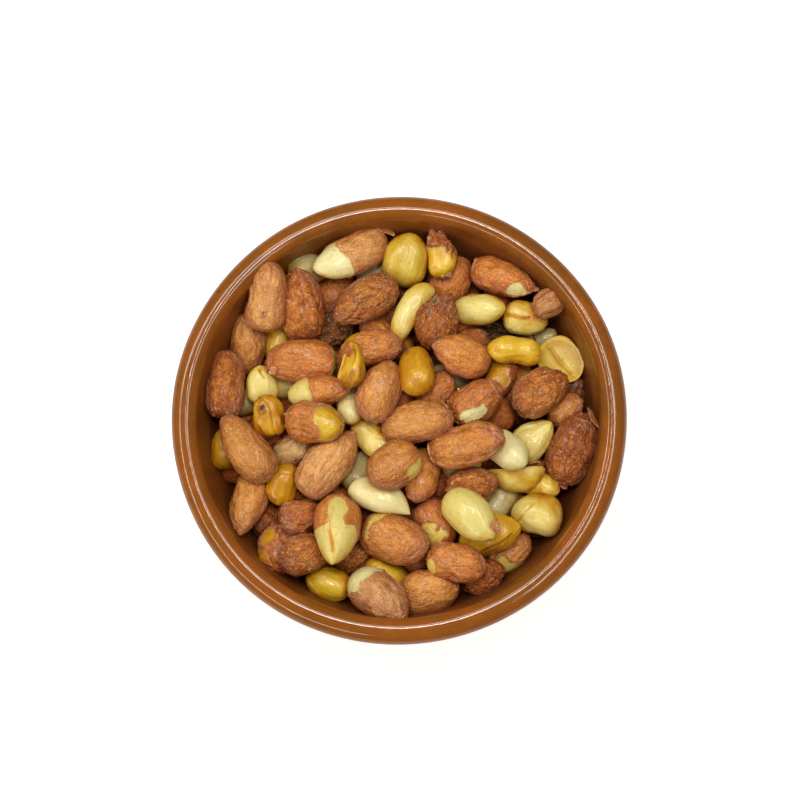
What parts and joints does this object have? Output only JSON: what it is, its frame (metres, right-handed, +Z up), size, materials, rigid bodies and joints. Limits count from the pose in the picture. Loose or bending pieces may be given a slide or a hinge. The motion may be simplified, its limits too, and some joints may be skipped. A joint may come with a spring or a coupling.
{
  "type": "bowl of salted peanuts",
  "caption": "Small round glazed earthenware bowl with a full round lip, filled to its rim with an uneven heap of fried salted peanut kernels.",
  "frame": {"origin": "centre of the bowl's flat base, on the surface that it stands on", "axes": "+Z up along the bowl's axis; the picture was taken from above, from a little towards -Y and +X"},
  "size_m": [0.12, 0.12, 0.0467],
  "materials": {
    "glazed_earthenware": "clear brown lead-free glaze over red clay, glossy, mottled, with small pinholes and iron specks",
    "peanut_kernels": null
  },
  "bodies": {
    "root": {"bowl": "glazed_earthenware", "peanut_heap": "peanut_kernels"}
  },
  "joints": []
}
